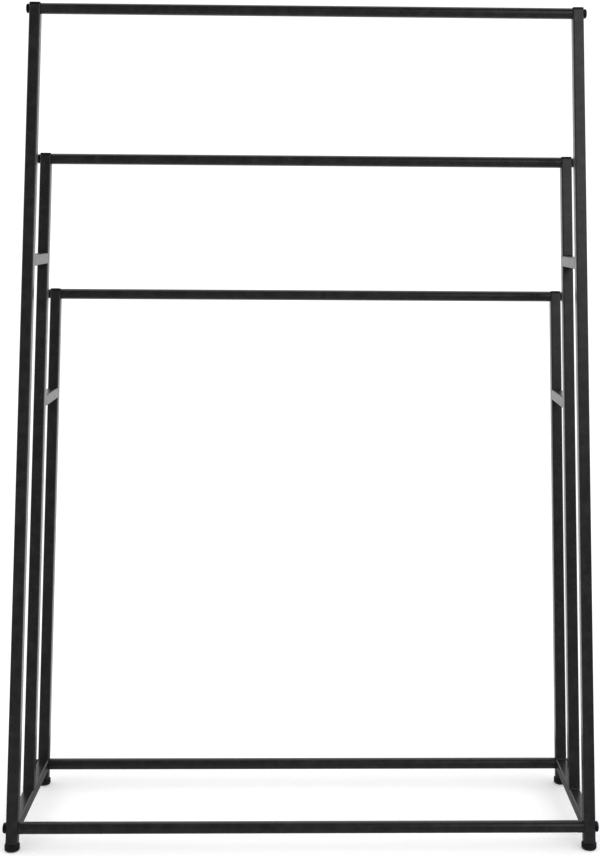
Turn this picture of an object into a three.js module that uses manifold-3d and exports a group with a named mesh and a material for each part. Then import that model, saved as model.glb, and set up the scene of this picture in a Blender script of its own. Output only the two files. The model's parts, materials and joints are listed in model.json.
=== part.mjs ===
// Free-standing three-tier towel rack: two welded side frames of square steel tube, each with
// three parallel leaning posts, joined by five round bars that are bolted on from outside.
// Millimetres, +Z up, +X to the right, +Y to the back. The origin is the centre of the
// rack's footprint box on the floor.
import * as THREE from 'three';
import { mergeVertices } from 'three/addons/utils/BufferGeometryUtils.js';
import Module from 'manifold-3d';

const wasm = await Module();
wasm.setup();

// ---------------------------------------------------------------- driving dimensions
const FRAME_WIDTH = 600;          // outside to outside of the two side frames
const TUBE = 12;                  // square tube of posts, rails and braces
const TUBE_WALL = 1.2;
const TUBE_CORNER = 1.6;          // outer corner radius of the square tube
const BORE_CORNER = TUBE_CORNER - TUBE_WALL;
const BAR_DIAMETER = 12;          // round towel bars
const BAR_WALL = 1.2;
const LEAN = Math.atan(0.131);    // posts lean back by about 7.5 degrees
const POST_SPACING = 85.7;        // front to back, between neighbouring posts
const BOTTOM_BAR_Z = 22;          // axis of the bottom bars and base rails above the floor
const TOP_BAR_RISE = 846;         // bar axes above the bottom bars
const MIDDLE_BAR_RISE = 686;
const LOW_BAR_RISE = 530;
const UPPER_BRACE_RISE = 574.5;   // braces between neighbouring posts
const LOWER_BRACE_RISE = 416;
const CAP_TOP_ABOVE_BAR = 6.6;    // top of the end caps above the bar axis, along the post

const GAP = 0.3;                  // clearance between neighbouring pieces
const CAP_FLANGE = 2.2;           // thickness of an end cap outside the tube
const CAP_DOME = 0.5;             // crown of its top face
const CAP_DOME_SLOPE = 0.9;       // width of the slope round the crown's flat middle
const CAP_DOME_MARGIN = 0.1;      // from the flange's edge to the foot of that slope
const CAP_LEG_LENGTH = 9;         // the legs straddle the bar's screw inside the tube
const CAP_LEG_WALL = 1.1;
const CAP_LEG_ROOT = 0.5;         // of a leg inside the flange
const FOOT_DIAMETER = 15.5;
const FOOT_HEIGHT = 6.8;
const FOOT_EDGE = 2.2;            // rounding of the foot's lower edge
const FOOT_SHOULDER = 0.7;        // chamfer of its upper edge
const FOOT_PLUG_LENGTH = 9.5;     // inside the tube
const FOOT_PLUG_ROOT = 3;         // of the plug inside the disc
const FOOT_PLUG_CORNER = 0.8;
const POST_END_Z = 7.3;           // lower ends of the posts above the floor

const SCREW_DIAMETER = 6;         // M6 pan-head screws
const SCREW_HEAD_DIAMETER = 10.5;
const SCREW_HEAD_HEIGHT = 3.3;
const SCREW_HEAD_ROUND = 1.5;     // rounding of the head's rim
const SCREW_REACH = 13;           // of the shank past the post, into the bar
const SCREW_TIP_CHAMFER = 0.6;
const SOCKET_ACROSS_FLATS = 4;
const SOCKET_DEPTH = 2.1;
const SCREW_HOLE = SCREW_DIAMETER + 2 * GAP;
const INSERT_LENGTH = 16;         // threaded insert in each bar end
const INSERT_LEAD = 0.5;          // chamfers of its mouth

const BAR_SIDES = 32;
const SCREW_SIDES = 20;
const ROUND_STEPS = 3;            // facets in each quarter turn of a rounding
const MERGE_DISTANCE = 1e-4;

const POST_X = (FRAME_WIDTH - TUBE) / 2;
const BORE = TUBE - 2 * TUBE_WALL;
const PLUG = BORE - 2 * GAP;      // width of what sits inside a square tube

// ---------------------------------------------------------------- materials
const powderCoat = new THREE.MeshStandardMaterial({ color: 0x232324, roughness: 0.5, metalness: 0.1 });
const blackScrew = new THREE.MeshStandardMaterial({ color: 0x101011, roughness: 0.4, metalness: 0.6 });
const zincSteel = new THREE.MeshStandardMaterial({ color: 0x9a9b9c, roughness: 0.35, metalness: 0.9 });
const capPlastic = new THREE.MeshStandardMaterial({ color: 0x161616, roughness: 0.6, metalness: 0 });
const footRubber = new THREE.MeshStandardMaterial({ color: 0x131313, roughness: 0.8, metalness: 0 });

// ---------------------------------------------------------------- solids
function toSolid(geometry) {
  const bare = geometry.index ? geometry.toNonIndexed() : geometry.clone();
  bare.deleteAttribute('normal');
  bare.deleteAttribute('uv');
  const merged = mergeVertices(bare, MERGE_DISTANCE);
  return new wasm.Manifold(new wasm.Mesh({
    numProp: 3,
    vertProperties: new Float32Array(merged.attributes.position.array),
    triVerts: new Uint32Array(merged.index.array),
  }));
}

function toGeometry(solid) {
  const mesh = solid.getMesh();
  const geometry = new THREE.BufferGeometry();
  geometry.setAttribute('position', new THREE.BufferAttribute(mesh.vertProperties, 3));
  geometry.setIndex(new THREE.BufferAttribute(mesh.triVerts, 1));
  geometry.computeVertexNormals();
  return geometry;
}

// Square with rounded corners, centred on the origin, as a THREE.Shape or a hole's Path.
function roundedSquare(width, radius, Outline = THREE.Shape) {
  const inner = width / 2 - radius;
  const outline = new Outline();
  outline.moveTo(width / 2, -inner);
  const corners = [[inner, inner, 0], [-inner, inner, 1], [-inner, -inner, 2], [inner, -inner, 3]];
  for (const [x, y, turn] of corners) {
    const start = turn * Math.PI / 2;
    outline.absarc(x, y, radius, start, start + Math.PI / 2, false);
  }
  return outline;
}

function extrude(shape, length) {
  return new THREE.ExtrudeGeometry(shape, {
    depth: length, bevelEnabled: false, steps: 1, curveSegments: ROUND_STEPS,
  });
}

// Square tube along +Z, from z = 0 to length, open at both ends.
function squareTube(length) {
  const section = roundedSquare(TUBE, TUBE_CORNER);
  section.holes.push(roundedSquare(BORE, BORE_CORNER, THREE.Path));
  return extrude(section, length);
}

// Cylinder along X, centred on (0, 0, z), to drill or to build with.
function crossCylinder(diameter, length, z) {
  const cylinder = new THREE.CylinderGeometry(diameter / 2, diameter / 2, length, SCREW_SIDES);
  cylinder.rotateZ(Math.PI / 2);
  cylinder.translate(0, 0, z);
  return cylinder;
}

// Body of revolution from [radius, z] pairs, about the Z axis.
function turned(profile, sides) {
  const lathe = new THREE.LatheGeometry(profile.map(([r, z]) => new THREE.Vector2(r, z)), sides);
  lathe.rotateX(Math.PI / 2);
  return lathe;
}

// Points on a quarter-circle about [r, z], from [r + radius, z] to [r, z + radius], ends included.
function quarter(r, z, radius) {
  const points = [];
  for (let i = 0; i <= ROUND_STEPS; i++) {
    const angle = i / ROUND_STEPS * Math.PI / 2;
    points.push([r + radius * Math.cos(angle), z + radius * Math.sin(angle)]);
  }
  return points;
}

// ---------------------------------------------------------------- pieces
// A post in its own leaning frame: local z = 0 at the height of the bottom bars. It is cut off
// level at the foot, square at the top, and drilled across at each bar.
function postGeometry(barRises, topRise, cutRise) {
  const overrun = TUBE;
  const bottom = cutRise / Math.cos(LEAN) - overrun;
  const top = topRise / Math.cos(LEAN) + CAP_TOP_ABOVE_BAR - CAP_FLANGE - CAP_DOME - GAP;
  const tube = squareTube(top - bottom);
  tube.translate(0, 0, bottom);

  const blockSize = 6 * TUBE;
  const block = new THREE.BoxGeometry(blockSize, blockSize, blockSize);
  block.translate(0, 0, -blockSize / 2);
  block.rotateX(LEAN);
  block.translate(0, 0, cutRise / Math.cos(LEAN));

  let solid = toSolid(tube).subtract(toSolid(block));
  for (const rise of barRises) {
    solid = solid.subtract(toSolid(crossCylinder(SCREW_HOLE, 2 * TUBE, rise / Math.cos(LEAN))));
  }
  return toGeometry(solid);
}

// Level tube running front to back between two posts, its ends mitred to the posts' lean.
function crossTubeGeometry(spacing) {
  const length = spacing - TUBE / Math.cos(LEAN) - 2 * GAP;
  const tube = squareTube(length);
  tube.translate(0, 0, -length / 2);
  tube.rotateX(-Math.PI / 2);
  const shear = new THREE.Matrix4().makeShear(0, 0, 0, 0, 0, Math.tan(LEAN));
  tube.applyMatrix4(shear);
  return toGeometry(toSolid(tube));
}

// Round bar along X, centred, open at both ends.
function barGeometry() {
  const half = FRAME_WIDTH / 2 - TUBE - GAP;
  const outer = BAR_DIAMETER / 2;
  const inner = outer - BAR_WALL;
  const profile = [[inner, -half], [outer, -half], [outer, half], [inner, half], [inner, -half]];
  const bar = turned(profile, BAR_SIDES);
  bar.rotateY(Math.PI / 2);
  return bar;
}

// Threaded insert in a bar end: a ring with a chamfered mouth, along +Z from z = 0.
function insertGeometry() {
  const outer = BAR_DIAMETER / 2 - BAR_WALL - GAP;
  const bore = SCREW_HOLE / 2;
  return turned([
    [bore + INSERT_LEAD, 0], [outer - INSERT_LEAD, 0], [outer, INSERT_LEAD], [outer, INSERT_LENGTH],
    [bore, INSERT_LENGTH], [bore, INSERT_LEAD], [bore + INSERT_LEAD, 0],
  ], SCREW_SIDES);
}

// Pan-head screw along +Z: underside of the head at z = 0, shank towards -Z, hex socket on top.
function screwGeometry() {
  const shank = SCREW_DIAMETER / 2;
  const tip = -(TUBE + GAP + SCREW_REACH);
  const head = SCREW_HEAD_DIAMETER / 2;
  const rim = quarter(head - SCREW_HEAD_ROUND, SCREW_HEAD_HEIGHT - SCREW_HEAD_ROUND, SCREW_HEAD_ROUND);
  const body = turned([
    [0, tip], [shank - SCREW_TIP_CHAMFER, tip], [shank, tip + SCREW_TIP_CHAMFER], [shank, 0],
    [head, 0], ...rim, [0, SCREW_HEAD_HEIGHT],
  ], SCREW_SIDES);
  const hexRadius = SOCKET_ACROSS_FLATS / Math.sqrt(3);
  const socket = new THREE.CylinderGeometry(hexRadius, hexRadius, 2 * SOCKET_DEPTH, 6);
  socket.rotateX(Math.PI / 2);
  socket.translate(0, 0, SCREW_HEAD_HEIGHT);
  return toGeometry(toSolid(body).subtract(toSolid(socket)));
}

// End cap in the post's frame: z = 0 at the flange's underside. Two legs reach down the tube,
// in front of and behind the screw that holds the bar.
function capGeometry() {
  const flange = extrude(roundedSquare(TUBE, TUBE_CORNER), CAP_FLANGE);
  const flat = TUBE - 2 * (CAP_DOME_SLOPE + CAP_DOME_MARGIN);
  const crown = new THREE.ExtrudeGeometry(roundedSquare(flat, TUBE_CORNER), {
    depth: CAP_FLANGE / 2, bevelEnabled: true, bevelSize: CAP_DOME_SLOPE, bevelThickness: CAP_DOME,
    bevelSegments: 2, curveSegments: ROUND_STEPS,
  });
  crown.translate(0, 0, CAP_FLANGE / 2);
  let solid = toSolid(flange).add(toSolid(crown));
  for (const side of [-1, 1]) {
    const leg = new THREE.BoxGeometry(PLUG, CAP_LEG_WALL, CAP_LEG_LENGTH + CAP_LEG_ROOT);
    leg.translate(0, side * (PLUG - CAP_LEG_WALL) / 2, (CAP_LEG_ROOT - CAP_LEG_LENGTH) / 2);
    solid = solid.add(toSolid(leg));
  }
  return toGeometry(solid);
}

// Foot with a vertical axis and a flat sole at z = 0, and a square plug that leans with the post.
function footGeometry() {
  const radius = FOOT_DIAMETER / 2;
  const lower = quarter(radius - FOOT_EDGE, -FOOT_EDGE, FOOT_EDGE).map(([r, z]) => [r, -z]).reverse();
  const disc = turned([
    [0, 0], ...lower, [radius, FOOT_HEIGHT - FOOT_SHOULDER],
    [radius - FOOT_SHOULDER, FOOT_HEIGHT], [0, FOOT_HEIGHT],
  ], SCREW_SIDES);
  const plug = extrude(roundedSquare(PLUG, FOOT_PLUG_CORNER), FOOT_PLUG_LENGTH + FOOT_PLUG_ROOT);
  plug.translate(0, 0, -FOOT_PLUG_ROOT);
  plug.rotateX(-LEAN);
  plug.translate(0, 0, POST_END_Z);
  return toGeometry(toSolid(disc).add(toSolid(plug)));
}

// ---------------------------------------------------------------- assembly
const rack = new THREE.Group();

function place(parent, name, geometry, material, x, y, z) {
  const mesh = new THREE.Mesh(geometry, material);
  mesh.name = name;
  mesh.position.set(x, y, z);
  parent.add(mesh);
  return mesh;
}

// How far back a post's axis is at a height above the bottom bars.
const postY = (row, rise) => row * POST_SPACING + rise * Math.tan(LEAN);

const sides = [
  { name: 'left', sign: -1 },
  { name: 'right', sign: 1 },
];

// Rises of the posts' lower ends: on the feet, and on the base rail.
const footCut = POST_END_Z - BOTTOM_BAR_Z;
const railCut = TUBE / 2 + GAP;
const posts = [
  { name: 'front', row: 0, top: TOP_BAR_RISE, bars: [0, TOP_BAR_RISE], onFoot: true },
  { name: 'middle', row: 1, top: MIDDLE_BAR_RISE, bars: [MIDDLE_BAR_RISE], onFoot: false },
  { name: 'rear', row: 2, top: LOW_BAR_RISE, bars: [0, LOW_BAR_RISE], onFoot: true },
];
for (const post of posts) {
  post.geometry = postGeometry(post.bars, post.top, post.onFoot ? footCut : railCut);
}

const crossTubes = [
  { name: 'base_rail', from: 0, to: 2, rise: 0 },
  { name: 'upper_brace', from: 0, to: 1, rise: UPPER_BRACE_RISE },
  { name: 'lower_brace', from: 1, to: 2, rise: LOWER_BRACE_RISE },
];

const bars = [
  { name: 'top_bar', row: 0, rise: TOP_BAR_RISE },
  { name: 'middle_bar', row: 1, rise: MIDDLE_BAR_RISE },
  { name: 'low_bar', row: 2, rise: LOW_BAR_RISE },
  { name: 'front_bottom_bar', row: 0, rise: 0 },
  { name: 'rear_bottom_bar', row: 2, rise: 0 },
];

const capShape = capGeometry();
const footShape = footGeometry();
const screwShape = screwGeometry();
const insertShape = insertGeometry();
const barShape = barGeometry();

for (const { name: side, sign } of sides) {
  for (const post of posts) {
    const leaning = new THREE.Group();
    leaning.position.set(sign * POST_X, postY(post.row, 0), BOTTOM_BAR_Z);
    leaning.rotation.x = -LEAN;
    rack.add(leaning);
    place(leaning, `${side}_${post.name}_post`, post.geometry, powderCoat, 0, 0, 0);
    const capZ = post.top / Math.cos(LEAN) + CAP_TOP_ABOVE_BAR - CAP_FLANGE - CAP_DOME;
    place(leaning, `${side}_${post.name}_cap`, capShape, capPlastic, 0, 0, capZ);
    if (post.onFoot) {
      const footY = postY(post.row, footCut);
      place(rack, `${side}_${post.name}_foot`, footShape, footRubber, sign * POST_X, footY, 0);
    }
  }
  for (const tube of crossTubes) {
    const middle = (tube.from + tube.to) / 2;
    const shape = crossTubeGeometry((tube.to - tube.from) * POST_SPACING);
    const y = postY(middle, tube.rise);
    place(rack, `${side}_${tube.name}`, shape, powderCoat, sign * POST_X, y, BOTTOM_BAR_Z + tube.rise);
  }
}

for (const bar of bars) {
  const y = postY(bar.row, bar.rise);
  const z = BOTTOM_BAR_Z + bar.rise;
  place(rack, bar.name, barShape, powderCoat, 0, y, z);
  for (const { name: side, sign } of sides) {
    const insertX = sign * (FRAME_WIDTH / 2 - TUBE - 2 * GAP);
    const insert = place(rack, `${bar.name}_${side}_insert`, insertShape, zincSteel, insertX, y, z);
    insert.rotation.y = -sign * Math.PI / 2;
    const headX = sign * (FRAME_WIDTH / 2 + GAP);
    const screw = place(rack, `${bar.name}_${side}_screw`, screwShape, blackScrew, headX, y, z);
    screw.rotation.y = sign * Math.PI / 2;
  }
}

const box = new THREE.Box3().setFromObject(rack);
rack.position.y = -(box.min.y + box.max.y) / 2;

export default rack;
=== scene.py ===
"""Free-standing three-tier towel rack in satin black powder coat: the looks around the CAD frame."""
import json
import math

import bpy
from mathutils import Matrix, Vector

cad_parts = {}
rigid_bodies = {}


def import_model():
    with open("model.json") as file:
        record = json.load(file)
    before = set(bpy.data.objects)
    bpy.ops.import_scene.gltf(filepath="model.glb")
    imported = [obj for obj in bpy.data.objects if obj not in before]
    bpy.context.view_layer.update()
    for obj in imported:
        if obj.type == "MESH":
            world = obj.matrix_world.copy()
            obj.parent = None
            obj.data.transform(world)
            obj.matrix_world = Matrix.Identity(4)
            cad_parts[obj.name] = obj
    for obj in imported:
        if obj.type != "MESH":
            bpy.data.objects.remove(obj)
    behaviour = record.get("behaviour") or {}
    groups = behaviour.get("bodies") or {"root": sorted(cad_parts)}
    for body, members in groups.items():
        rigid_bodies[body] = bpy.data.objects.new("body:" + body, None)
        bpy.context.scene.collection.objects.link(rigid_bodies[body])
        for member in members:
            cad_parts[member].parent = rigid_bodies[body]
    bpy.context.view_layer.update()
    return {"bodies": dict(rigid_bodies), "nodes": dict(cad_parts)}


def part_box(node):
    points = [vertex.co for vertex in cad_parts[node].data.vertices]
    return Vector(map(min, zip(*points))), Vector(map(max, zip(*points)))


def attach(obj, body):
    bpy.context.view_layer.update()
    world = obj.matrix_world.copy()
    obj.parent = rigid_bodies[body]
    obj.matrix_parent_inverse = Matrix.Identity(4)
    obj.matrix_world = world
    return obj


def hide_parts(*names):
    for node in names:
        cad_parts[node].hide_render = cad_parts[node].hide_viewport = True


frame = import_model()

BODY = next(iter(frame["bodies"]))
MM = 0.001

# ------------------------------------------------------------------ sizes from the frame
SIDES = {"left": -1, "right": 1}
ROWS = ("front", "middle", "rear")
BARS = ("top_bar", "middle_bar", "low_bar", "front_bottom_bar", "rear_bottom_bar")
ROW_TOP_BAR = {"front": "top_bar", "middle": "middle_bar", "rear": "low_bar"}
X_AXIS = Vector((1, 0, 0))


def centre(node):
    low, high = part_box(node)
    return (Vector(low) + Vector(high)) / 2


def size(node):
    low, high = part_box(node)
    return Vector(high) - Vector(low)


TUBE = size("left_front_post").x
CORNER = 1.6 * MM
WALL = 1.2 * MM
BAR_RADIUS = size("top_bar").z / 2
POST_X = abs(centre("left_front_post").x)
INNER_X = POST_X - TUBE / 2
OUTER_X = POST_X + TUBE / 2
BOTTOM_AXIS = centre("front_bottom_bar")
LEAN_AXIS = (centre("top_bar") - BOTTOM_AXIS).normalized()
TAN_LEAN = LEAN_AXIS.y / LEAN_AXIS.z
COS_LEAN = LEAN_AXIS.z

# ------------------------------------------------------------------ sizes the frame does not show
BORE_CORNER = 0.5 * MM
TUBE_END_EDGE = 0.2 * MM
RAIL_RUN_IN = 1.3 * MM       # rails and braces pass their CAD ends by this, across the weld gap
POST_RUN_IN = 1.2 * MM       # so does the foot of the middle post, into the rail it stands on
BAR_END_GAP = 0.03 * MM
BAR_END_EDGE = 0.25 * MM

SCREW_SEAT_GAP = 0.02 * MM
SCREW_SHANK = 3.0 * MM       # radii, as is the head's
SCREW_HEAD = 5.25 * MM
SCREW_HEAD_HEIGHT = 3.3 * MM
SCREW_HEAD_ROUND = 1.5 * MM
SOCKET_FLATS = 4.0 * MM
SOCKET_DEPTH = 2.1 * MM

CAP_TOP = 6.6 * MM           # top of the crown, from the bar's axis along the post
CAP_FLANGE = 2.2 * MM
CAP_SIDE = 1.7 * MM          # the flange's upright side, below its bevel
CAP_BEVEL = 0.7 * MM
CAP_CROWN = 0.5 * MM
CAP_WIDTH = TUBE - 0.06 * MM
CAP_LEG_DEPTH = 1.1 * MM
CAP_LEG_OFFSET = 3.95 * MM
CAP_LEG = ((7.6, -5.0, 0.6), (9.0, -4.0, 1.0), (9.0, 4.2, 1.0))    # mm, mm, share of depth

FOOT_TOP = 6.8 * MM
FOOT_EDGE = 2.2 * MM
FOOT_PLUG = 9.0 * MM
FOOT_LEAN_FROM = 7.3 * MM    # height at which the post's axis passes over the sole's centre
FOOT_PLUG_STEPS = ((0.08, FOOT_PLUG), (0.9, FOOT_PLUG), (1.0, FOOT_PLUG - 1.4 * MM))
FOOT_SHOULDER = ((0, 4.3), (0.25, 4.5), (0.25, 4.8), (0, 5.0), (0, 6.0), (0.2, 6.45), (0.7, 6.8),
                 (2.2, 6.8))         # inset from the foot's radius and height, mm

WELD_LEG = 1.1 * MM
WELD_WIDTH = TUBE - 1.9 * MM
WELD_ROOT = 0.4 * MM         # depth of the weld's root inside the corner
WELD_SLICES = 40
WELD_HOLLOW = 0.16           # share of the leg by which the face dips

# ------------------------------------------------------------------ loops and lofts
AROUND = 48        # points in every loop
QUADRANT = AROUND // 4


def circle(radius, z):
    """Loop of AROUND points at height z, starting half a step past the X axis."""
    step = 2 * math.pi / AROUND
    turns = [(i + 0.5) * step for i in range(AROUND)]
    return [Vector((radius * math.cos(a), radius * math.sin(a), z)) for a in turns]


def hexagon(flats, z):
    """Like circle, but the points lie on a hexagon of that width across flats."""
    loop = []
    for point in circle(1, z):
        angle = math.atan2(point.y, point.x) % (math.pi / 3) - math.pi / 6
        radius = flats / 2 / math.cos(angle)
        loop.append(Vector((point.x * radius, point.y * radius, z)))
    return loop


def rounded_square(width, corner, z, slope=0.0, depth=None):
    """Loop round a square or, with depth, a rectangle. All its points are on the corner arcs."""
    inner_x, inner_y = width / 2 - corner, (depth or width) / 2 - corner
    loop = []
    for quadrant in range(4):
        side_x = (1, -1, -1, 1)[quadrant]
        side_y = (1, 1, -1, -1)[quadrant]
        for i in range(QUADRANT):
            angle = (quadrant + i / (QUADRANT - 1)) * math.pi / 2
            x = side_x * inner_x + corner * math.cos(angle)
            y = side_y * inner_y + corner * math.sin(angle)
            loop.append(Vector((x, y, z + slope * y)))
    return loop


def frame_at(origin, x_axis, z_axis):
    """Matrix that puts a piece's own X and Z along these directions, at origin."""
    z = z_axis.normalized()
    y = z.cross(x_axis).normalized()
    x = y.cross(z)
    return Matrix.Translation(origin) @ Matrix((x, y, z)).transposed().to_4x4()


def loft(shells, matrix):
    """Vertices and faces of shells, each (loops, ring): capped at both ends, or closed on itself."""
    points, faces = [], []
    for loops, ring in shells:
        start = len(points)
        count = len(loops[0])
        for loop in loops:
            points += [matrix @ p for p in loop]
        pairs = len(loops) if ring else len(loops) - 1
        for k in range(pairs):
            a = start + k * count
            b = start + (k + 1) % len(loops) * count
            for i in range(count):
                j = (i + 1) % count
                faces.append((a + i, a + j, b + j, b + i))
        if not ring:
            faces.append(tuple(start + i for i in reversed(range(count))))
            faces.append(tuple(start + (len(loops) - 1) * count + i for i in range(count)))
    return points, faces


# ------------------------------------------------------------------ materials
class Nodes:
    """Short calls to build one material's node tree."""

    def __init__(self, name):
        self.material = bpy.data.materials.new("fine_" + name)
        self.material.use_nodes = True
        self.tree = self.material.node_tree
        self.shader = self.tree.nodes["Principled BSDF"]
        self.place = self.add("ShaderNodeTexCoord").outputs["Object"]

    def add(self, kind, **inputs):
        node = self.tree.nodes.new(kind)
        for key, value in inputs.items():
            self.put(node.inputs[key.replace("_", " ")], value)
        return node

    def put(self, socket, value):
        if isinstance(value, bpy.types.NodeSocket):
            self.tree.links.new(value, socket)
        else:
            socket.default_value = value

    def noise(self, scale, detail=2.0, roughness=0.5):
        node = self.add("ShaderNodeTexNoise", Vector=self.place, Scale=scale, Detail=detail,
                        Roughness=roughness)
        return node.outputs["Fac"]

    def ramp(self, value, low, high, to_low, to_high):
        node = self.add("ShaderNodeMapRange", Value=value, From_Min=low, From_Max=high,
                        To_Min=to_low, To_Max=to_high)
        return node.outputs["Result"]

    def mix(self, factor, first, second):
        node = self.tree.nodes.new("ShaderNodeMix")
        node.data_type = "RGBA"
        self.put(node.inputs["Factor"], factor)
        self.put(node.inputs[6], (*first, 1) if isinstance(first, tuple) else first)
        self.put(node.inputs[7], (*second, 1) if isinstance(second, tuple) else second)
        return node.outputs[2]

    def attribute(self, name):
        node = self.tree.nodes.new("ShaderNodeAttribute")
        node.attribute_name = name
        return node.outputs["Fac"]

    def bump(self, height, distance, strength=1.0, normal=None):
        node = self.add("ShaderNodeBump", Height=height, Distance=distance, Strength=strength)
        if normal is not None:
            self.put(node.inputs["Normal"], normal)
        return node.outputs["Normal"]

    def finish(self, color, roughness, normal, metallic=0.0, specular=0.5):
        self.put(self.shader.inputs["Base Color"], color)
        self.put(self.shader.inputs["Roughness"], roughness)
        self.put(self.shader.inputs["Normal"], normal)
        self.put(self.shader.inputs["Metallic"], metallic)
        self.put(self.shader.inputs["Specular IOR Level"], specular)
        return self.material


def powder_coat():
    """Satin black powder coat: orange peel, faint clouding, and thinner, rubbed coat on corners."""
    n = Nodes("powder_coat")
    cloud = n.ramp(n.noise(30, 3), 0.3, 0.7, 0, 1)
    speck = n.ramp(n.noise(2600, 1), 0.60, 0.72, 0, 0.6)
    base = n.mix(cloud, (0.0052, 0.0051, 0.0052), (0.0072, 0.0070, 0.0071))
    base = n.mix(speck, base, (0.013, 0.013, 0.013))
    wear = n.add("ShaderNodeMath", Value=n.attribute("edge"))
    wear.operation = "MULTIPLY"
    n.put(wear.inputs[1], n.ramp(n.noise(90, 4, 0.7), 0.42, 0.75, 0.15, 0.9))
    base = n.mix(wear.outputs[0], base, (0.018, 0.018, 0.0185))
    rough = n.ramp(n.noise(150, 3), 0.3, 0.7, 0.27, 0.35)
    peel = n.bump(n.noise(620, 1.5), 0.00003, 0.55)
    grain = n.bump(n.noise(2900, 1), 0.00001, 0.5, peel)
    return n.finish(base, rough, grain)


def black_screw():
    """Black-oxide steel of the screw heads, a little glossier than the tubes."""
    n = Nodes("black_screw")
    base = n.mix(n.noise(400, 3), (0.003, 0.003, 0.0032), (0.007, 0.0068, 0.0066))
    rough = n.ramp(n.noise(900, 2), 0.3, 0.7, 0.28, 0.42)
    return n.finish(base, rough, n.bump(n.noise(1500, 2), 0.000015, 0.5), metallic=0.55)


def zinc_steel():
    """Zinc-plated steel of the inserts inside the bar ends."""
    n = Nodes("zinc_steel")
    base = n.mix(n.noise(300, 4), (0.42, 0.43, 0.44), (0.62, 0.62, 0.60))
    rough = n.ramp(n.noise(500, 3), 0.3, 0.7, 0.25, 0.45)
    return n.finish(base, rough, n.bump(n.noise(1200, 2), 0.00002, 0.5), metallic=0.95)


def cap_plastic():
    """Black moulded plastic with a fine spark-eroded grain."""
    n = Nodes("cap_plastic")
    base = n.mix(n.noise(200, 2), (0.0035, 0.0035, 0.0036), (0.0055, 0.0054, 0.0053))
    rough = n.ramp(n.noise(700, 2), 0.3, 0.7, 0.46, 0.60)
    return n.finish(base, rough, n.bump(n.noise(2400, 2), 0.00002, 0.6),
                    specular=0.4)


def foot_rubber():
    """Dull black rubber of the feet, dusty towards the sole."""
    n = Nodes("foot_rubber")
    height = n.add("ShaderNodeSeparateXYZ", Vector=n.place).outputs["Z"]
    dust = n.add("ShaderNodeMath", Value=n.ramp(height, 0.0, 2.5 * MM, 0.7, 0))
    dust.operation = "MULTIPLY"
    n.put(dust.inputs[1], n.ramp(n.noise(500, 4, 0.7), 0.4, 0.7, 0, 1))
    base = n.mix(n.noise(250, 3), (0.004, 0.004, 0.004), (0.007, 0.0069, 0.0068))
    base = n.mix(dust.outputs[0], base, (0.05, 0.048, 0.045))
    rough = n.ramp(n.noise(600, 3), 0.3, 0.7, 0.62, 0.80)
    return n.finish(base, rough, n.bump(n.noise(1600, 3), 0.00003, 0.7),
                    specular=0.3)


MATERIALS = {make.__name__: make() for make in (powder_coat, black_screw, zinc_steel, cap_plastic,
                                                foot_rubber)}


# ------------------------------------------------------------------ pieces
def piece(name, shells, matrix, slot, *nodes):
    """A finished mesh piece that stands for CAD nodes, or adds to them when none are given."""
    points, faces = loft(shells, matrix)
    mesh = bpy.data.meshes.new(name)
    mesh.from_pydata(points, [], faces)
    mesh.validate()
    for polygon in mesh.polygons:
        polygon.use_smooth = True
    mesh.set_sharp_from_angle(angle=math.radians(32))
    mesh.materials.append(MATERIALS[slot])
    obj = bpy.data.objects.new(name, mesh)
    bpy.context.scene.collection.objects.link(obj)
    normals = obj.modifiers.new("weighted_normals", "WEIGHTED_NORMAL")
    normals.keep_sharp = True
    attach(obj, BODY)
    if nodes:
        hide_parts(*nodes)
    mark_edges(obj)
    return obj


def mark_edges(obj):
    """Point attribute "edge": 1 where the surface turns tightly, which the coat's wear reads."""
    mesh = obj.data
    normals = [Vector() for _ in mesh.vertices]
    spread = [1.0] * len(mesh.vertices)
    for polygon in mesh.polygons:
        for i in polygon.vertices:
            normals[i] += polygon.normal
    for polygon in mesh.polygons:
        for i in polygon.vertices:
            spread[i] = min(spread[i], polygon.normal.dot(normals[i].normalized()))
    layer = mesh.attributes.new("edge", "FLOAT", "POINT")
    layer.data.foreach_set("value", [min(1.0, (1 - s) * 40) for s in spread])


def square_tube(start, end, low_slope, high_slope):
    """Loops of a hollow square tube along its own Z, its ends cut to the given slopes."""
    bore = TUBE - 2 * WALL
    edge = TUBE_END_EDGE
    loops = [
        rounded_square(TUBE - 2 * edge, CORNER - edge, start, low_slope),
        rounded_square(TUBE, CORNER, start + edge, low_slope),
        rounded_square(TUBE, CORNER, end - edge, high_slope),
        rounded_square(TUBE - 2 * edge, CORNER - edge, end, high_slope),
        rounded_square(bore, BORE_CORNER, end, high_slope),
        rounded_square(bore, BORE_CORNER, start, low_slope),
    ]
    return loops, True


def row_axis(row):
    """Point on a row's post axis, at the centre of the bar it carries at the top."""
    return centre(ROW_TOP_BAR[row])


def post(side, row):
    """A leaning post: level at its foot or on the rail, square under its cap."""
    node = f"{side}_{row}_post"
    low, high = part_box(node)
    head = row_axis(row)
    head.x = SIDES[side] * POST_X
    into_rail = POST_RUN_IN if row == "middle" else 0.0
    start = (low[2] - into_rail - head.z) / COS_LEAN
    end = (high[2] - head.z - TUBE / 2 * TAN_LEAN * COS_LEAN) / COS_LEAN
    matrix = frame_at(head, X_AXIS, LEAN_AXIS)
    piece(node + "_coated", [square_tube(start, end, TAN_LEAN, 0.0)], matrix, "powder_coat", node)


def cross_tube(side, name):
    """A level tube between two posts, run into their rounded corners so that it sits flush."""
    node = f"{side}_{name}"
    middle = centre(node)
    half = size(node).y / 2 - TUBE / 2 * TAN_LEAN + RAIL_RUN_IN
    matrix = frame_at(middle, X_AXIS, Vector((0, 1, 0)))
    slope = -TAN_LEAN
    piece(node + "_coated", [square_tube(-half, half, slope, slope)], matrix, "powder_coat", node)


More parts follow.
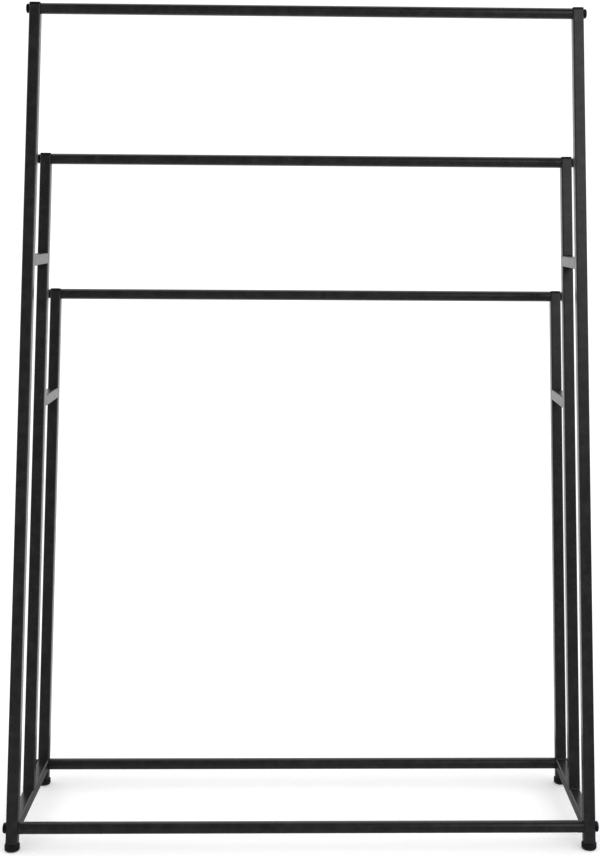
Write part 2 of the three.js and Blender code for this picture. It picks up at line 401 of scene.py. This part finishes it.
def round_bar(name):
    """A towel bar: hollow round tube that butts against the posts."""
    outer, inner = BAR_RADIUS, BAR_RADIUS - WALL
    half = INNER_X - BAR_END_GAP
    edge = BAR_END_EDGE
    loops = [circle(outer - edge, -half), circle(outer, -half + edge), circle(outer, half - edge),
             circle(outer - edge, half), circle(inner, half), circle(inner, -half)]
    matrix = frame_at(centre(name), Vector((0, 1, 0)), X_AXIS)
    piece(name + "_coated", [(loops, True)], matrix, "powder_coat", name)


def pan_head_screw(bar, side):
    """Pan-head screw with a hex socket, its shank through the post into the bar's insert."""
    node = f"{bar}_{side}_screw"
    sign = SIDES[side]
    seat = OUTER_X + SCREW_SEAT_GAP
    shank = SCREW_SHANK
    tip = -(size(node).x - SCREW_HEAD_HEIGHT)
    head = SCREW_HEAD
    rounding = SCREW_HEAD_ROUND
    rise = abs(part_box(node)[0][0] if sign < 0 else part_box(node)[1][0]) - seat
    loops = [circle(0.5 * MM, tip), circle(shank - 0.7 * MM, tip), circle(shank, tip + 0.7 * MM),
             circle(shank, -0.05 * MM), circle(head - 0.15 * MM, 0), circle(head, 0.15 * MM)]
    for i in range(11):
        angle = i / 10 * math.pi / 2
        loops.append(circle(head - rounding * (1 - math.cos(angle)),
                            rise - rounding * (1 - math.sin(angle))))
    floor = rise - SOCKET_DEPTH
    loops += [hexagon(SOCKET_FLATS + 0.5 * MM, rise),
              hexagon(SOCKET_FLATS, rise - 0.25 * MM),
              hexagon(SOCKET_FLATS, floor), circle(0.3 * MM, floor - 0.7 * MM)]
    middle = centre(node)
    matrix = frame_at(Vector((sign * seat, middle.y, middle.z)), Vector((0, 1, 0)), X_AXIS * sign)
    piece(node + "_turned", [(loops, False)], matrix, "black_screw", node)


def end_cap(side, row):
    """Plastic cap: rounded flange with a low crown, and two legs that straddle the screw."""
    node = f"{side}_{row}_cap"
    head = row_axis(row)
    head.x = SIDES[side] * POST_X
    flange_low = CAP_TOP - CAP_FLANGE - CAP_CROWN
    loops = [rounded_square(TUBE - 0.5 * MM, CORNER, flange_low),
             rounded_square(CAP_WIDTH, CORNER, flange_low + 0.2 * MM),
             rounded_square(CAP_WIDTH, CORNER, flange_low + CAP_SIDE)]
    for i in range(1, 7):
        angle = i / 6 * math.pi / 2
        inset = CAP_BEVEL * (1 - math.cos(angle))
        height = CAP_SIDE + (CAP_FLANGE - CAP_SIDE) * math.sin(angle)
        loops.append(rounded_square(CAP_WIDTH - 2 * inset, CORNER - inset * 0.6,
                                    flange_low + height))
    for i in range(1, 7):
        share = i / 7
        width = (TUBE - 2 * CAP_BEVEL) * (1 - share)
        height = CAP_FLANGE + CAP_CROWN * (1 - (1 - share) ** 2)
        loops.append(rounded_square(width, width * 0.14 + 0.1 * MM, flange_low + height))
    shells = [(loops, False)]
    for sign in (-1, 1):
        leg = [rounded_square(width * MM, 0.25 * MM, z * MM, depth=CAP_LEG_DEPTH * grow)
               for width, z, grow in CAP_LEG]
        shift = Vector((0, sign * CAP_LEG_OFFSET, 0))
        shells.append(([[p + shift for p in loop] for loop in leg], False))
    matrix = frame_at(head, X_AXIS, LEAN_AXIS)
    piece(node + "_moulded", shells, matrix, "cap_plastic", node)


def foot(side, row):
    """Round foot with a soft lower edge, a grooved shoulder and a plug that leans with the post."""
    node = f"{side}_{row}_foot"
    middle = centre(node)
    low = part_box(node)[0]
    radius = size(node).x / 2
    loops = [circle(0.4 * MM, 0.35 * MM), circle(2.6 * MM, 0.35 * MM), circle(3.0 * MM, 0)]
    edge = FOOT_EDGE
    for i in range(9):
        angle = i / 8 * math.pi / 2
        loops.append(circle(radius - edge + edge * math.sin(angle), edge * (1 - math.cos(angle))))
    for inset, z in FOOT_SHOULDER:
        loops.append(circle(radius - inset * MM, z * MM))
    for share, width in FOOT_PLUG_STEPS:
        z = FOOT_TOP + share * (size(node).z - FOOT_TOP)
        shift = Vector((0, (z - FOOT_LEAN_FROM) * TAN_LEAN, 0))
        loops.append([p + shift for p in rounded_square(width, 0.8 * MM, z)])
    matrix = Matrix.Translation((middle.x, low[1] + radius, 0))
    piece(node + "_moulded", [(loops, False)], matrix, "foot_rubber", node)


def weld(name, corner, along_a, along_b):
    """Fillet weld across the tube's width, in the corner between directions a and b."""
    loops = []
    for i in range(WELD_SLICES + 1):
        across = i / WELD_SLICES - 0.5
        x = across * WELD_WIDTH
        ends = min(1.0, 3.2 * math.sqrt(max(0.0, 0.25 - across ** 2)) + 0.25)
        ripple = 1 + 0.07 * math.sin(i * 1.9) + 0.03 * math.sin(i * 0.7)
        here = WELD_LEG * ends * ripple
        loop = [Vector((x, 0, 0)) - (along_a + along_b) * WELD_ROOT]
        for k in range(9):
            share = k / 8
            a, b = here * (1 - share), here * share
            hollow = WELD_HOLLOW * here * math.sin(share * math.pi)
            loop.append(Vector((x, 0, 0)) + along_a * (a - hollow) + along_b * (b - hollow))
        loops.append(loop)
    turned = along_a.cross(along_b).x
    if turned < 0:
        loops = [list(reversed(loop)) for loop in loops]
    piece(name, [(loops, False)], Matrix.Translation(corner), "powder_coat")


def welds(side):
    """Fillets above and below each rail and brace, and where the middle post stands on the rail."""
    sign = SIDES[side]
    y_axis = Vector((0, 1, 0))
    for name in ("base_rail", "upper_brace", "lower_brace"):
        node = f"{side}_{name}"
        middle = centre(node)
        half = size(node).y / 2 - TUBE / 2 * TAN_LEAN + 0.3 * MM
        for end in (-1, 1):
            for level in (-1, 1):
                z = middle.z + level * TUBE / 2
                y = middle.y + end * half + level * TUBE / 2 * TAN_LEAN
                corner = Vector((sign * POST_X, y, z))
                label = ("front", "rear")[end > 0] + ("_under", "_top")[level > 0]
                weld(f"{node}_weld_{label}", corner, y_axis * -end, LEAN_AXIS * level)
    rail_top = centre(f"{side}_base_rail").z + TUBE / 2
    axis = row_axis("middle")
    y = axis.y - (axis.z - rail_top) * TAN_LEAN
    for end in (-1, 1):
        corner = Vector((sign * POST_X, y + end * TUBE / 2 / COS_LEAN, rail_top))
        label = ("front", "rear")[end > 0]
        weld(f"{side}_middle_post_weld_{label}", corner, y_axis * end, LEAN_AXIS)


for side in SIDES:
    for row in ROWS:
        post(side, row)
        end_cap(side, row)
    for name in ("base_rail", "upper_brace", "lower_brace"):
        cross_tube(side, name)
    for row in ("front", "rear"):
        foot(side, row)
    for bar in BARS:
        pan_head_screw(bar, side)
        insert = frame["nodes"][f"{bar}_{side}_insert"]
        for material_slot in insert.material_slots:
            material_slot.material = MATERIALS["zinc_steel"]
    welds(side)
for bar in BARS:
    round_bar(bar)


# ------------------------------------------------------------------ floor, light and camera
def plane(name, width, height, matrix):
    mesh = bpy.data.meshes.new(name)
    corners = [(-width / 2, -height / 2, 0), (width / 2, -height / 2, 0),
               (width / 2, height / 2, 0), (-width / 2, height / 2, 0)]
    mesh.from_pydata([matrix @ Vector(c) for c in corners], [], [(0, 1, 2, 3)])
    obj = bpy.data.objects.new(name, mesh)
    bpy.context.scene.collection.objects.link(obj)
    return obj


def dark_card(name, width, height, matrix, glow):
    """A dim card that only reflections see: it stands for unlit parts of the room."""
    card = plane(name, width, height, matrix)
    dark = bpy.data.materials.new(name)
    dark.use_nodes = True
    tree = dark.node_tree
    emission = tree.nodes.new("ShaderNodeEmission")
    emission.inputs["Color"].default_value = (1, 1, 1, 1)
    emission.inputs["Strength"].default_value = glow
    tree.links.new(emission.outputs[0], tree.nodes["Material Output"].inputs["Surface"])
    card.data.materials.append(dark)
    card.visible_camera = False
    card.visible_diffuse = False
    card.visible_shadow = False
    card.visible_transmission = False


def studio():
    """White surroundings and floor, a darker room behind the camera, and one high softbox."""
    world = bpy.data.worlds.new("studio")
    bpy.context.scene.world = world
    world.use_nodes = True
    background = world.node_tree.nodes["Background"]
    background.inputs["Color"].default_value = (1, 1, 1, 1)
    background.inputs["Strength"].default_value = 1.12

    floor = plane("floor", 60, 60, Matrix.Identity(4))
    n = Nodes("pale_floor")
    tone = n.mix(n.noise(3, 2), (0.90, 0.90, 0.90), (0.92, 0.92, 0.92))
    n.shader.inputs["Emission Color"].default_value = (1, 1, 1, 1)
    n.shader.inputs["Emission Strength"].default_value = 0.17
    floor.data.materials.append(n.finish(tone, 0.9, n.bump(n.noise(60, 2), 0.0001, 0.1),
                                         specular=0.2))

    upright = Matrix.Rotation(math.radians(90), 4, "X")
    dark_card("dark_room", 6.0, 3.1, Matrix.Translation((-0.2, -1.95, 1.55)) @ upright, 0.15)
    dark_card("dark_floor", 6.0, 2.15, Matrix.Translation((-0.2, -0.875, 0.002)), 0.27)
    dark_card("dark_ceiling", 6.0, 1.95, Matrix.Translation((-0.2, -0.97, 3.1)), 0.03)

    box = bpy.data.lights.new("softbox", "AREA")
    box.shape = "RECTANGLE"
    box.size, box.size_y = 0.7, 1.2
    box.energy = 4.6
    lamp = bpy.data.objects.new("softbox", box)
    lamp.location = (0.85, -1.5, 1.35)
    aim = Vector((0.2, 0, 0.7)) - lamp.location
    lamp.rotation_euler = aim.to_track_quat("-Z", "Y").to_euler()
    lamp.visible_camera = False
    bpy.context.scene.collection.objects.link(lamp)


def camera():
    """Camera placed from the front bottom bar's axis: a little above the middle of the rack, about
    1.5 m away, with a lens shift that keeps the tall rack in frame."""
    right, back, up = 8.8 * MM, 1468.5 * MM, 626.9 * MM
    yaw, pitch, roll = 0.0226, 0.0205, 0.0068
    forward = Vector((math.sin(yaw) * math.cos(pitch), math.cos(yaw) * math.cos(pitch),
                      -math.sin(pitch)))
    level = Vector((math.cos(yaw), -math.sin(yaw), 0))
    upright = level.cross(forward)
    across = level * math.cos(roll) + upright * math.sin(roll)
    eye = Vector((right, BOTTOM_AXIS.y - back, BOTTOM_AXIS.z + up))
    data = bpy.data.cameras.new("camera")
    data.sensor_fit = "AUTO"
    data.sensor_width = 36
    data.lens = 60.98
    data.shift_x, data.shift_y = -0.0550, -0.2161
    obj = bpy.data.objects.new("camera", data)
    obj.matrix_world = frame_at(eye, across, -forward)
    bpy.context.scene.collection.objects.link(obj)
    bpy.context.scene.camera = obj


studio()
camera()
scene = bpy.context.scene
scene.view_settings.view_transform = "Standard"
scene.view_settings.look = "None"
